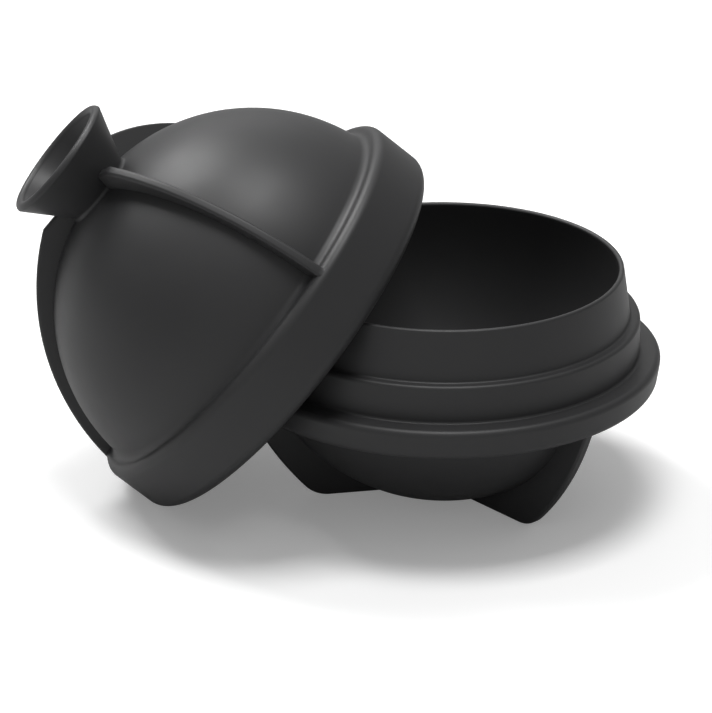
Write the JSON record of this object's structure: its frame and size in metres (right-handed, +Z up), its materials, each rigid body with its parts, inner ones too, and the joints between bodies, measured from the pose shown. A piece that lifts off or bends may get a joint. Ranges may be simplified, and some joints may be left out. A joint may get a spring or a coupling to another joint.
{
  "type": "ice ball mold",
  "caption": "Silicone ice ball mold: a footed bowl with a tall lip and a stepped flange, and a finned dome with a filling funnel that leans open against it.",
  "frame": {"origin": "on the table, on the axis of the lower half, where its feet meet", "axes": "+Z up along the axis of the lower half, -X towards the leaning upper half, -Y towards the picture's viewer"},
  "size_m": [0.1149, 0.0784, 0.0719],
  "materials": {
    "lower_half": "matte black moulded silicone",
    "upper_half": "matte black moulded silicone"
  },
  "bodies": {
    "lower": {"lower_half": "lower_half"},
    "upper": {"upper_half": "upper_half"}
  },
  "joints": [
    {"name": "lift_off", "type": "slide", "parent": "lower", "child": "upper", "axis": [0, 0, 1], "range_m": [0, 0.06]}
  ]
}
